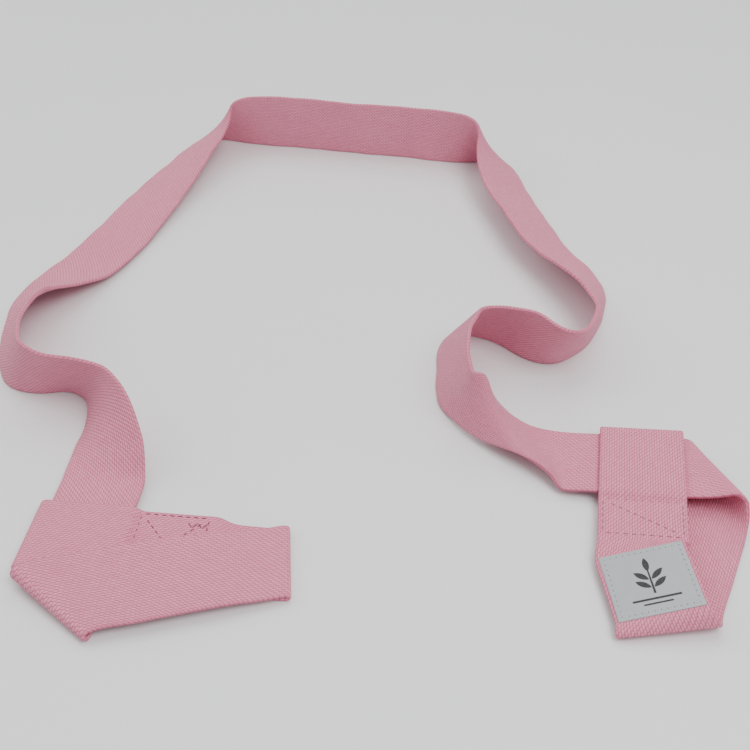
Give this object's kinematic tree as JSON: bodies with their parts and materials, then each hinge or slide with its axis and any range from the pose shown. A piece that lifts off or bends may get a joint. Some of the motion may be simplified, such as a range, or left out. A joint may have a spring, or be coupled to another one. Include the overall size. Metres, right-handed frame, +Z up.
{
  "type": "stretching strap",
  "caption": "Flat woven webbing strap with each end sewn into a slip noose for a hand or foot, laid out loosely on its edge, with a small sewn-on fabric label.",
  "frame": {"origin": "under the middle of the laid-out strap's bounding box, on the table", "axes": "+Z up, +Y away from the nooses along the layout's length, +X to the noose with the label"},
  "size_m": [0.364, 0.4222, 0.038],
  "materials": {
    "webbing": "pink cotton twill webbing, matt",
    "thread": "dark rose sewing thread",
    "label": "pale grey woven label",
    "label_thread": "dark grey sewing thread",
    "print": "dark grey print"
  },
  "bodies": {
    "strap": {"strap_webbing": "webbing"},
    "left_loop": {"left_end_loop": "webbing", "left_box_stitching": "thread", "left_noose_band": "webbing"},
    "right_loop": {"right_end_loop": "webbing", "right_box_stitching": "thread", "right_noose_band": "webbing", "care_label": "label", "label_stitching": "label_thread", "label_print": "print"}
  },
  "joints": [
    {"name": "left_loop_slide", "type": "slide", "parent": "strap", "child": "left_loop", "axis": [0.1045, 0.9945, 0], "range_m": [0, 0.015], "deforming": ["left_noose_band"]},
    {"name": "right_loop_slide", "type": "slide", "parent": "strap", "child": "right_loop", "axis": [-0.9811, 0.173, -0.0872], "range_m": [0, 0.015], "deforming": ["right_noose_band"]}
  ]
}
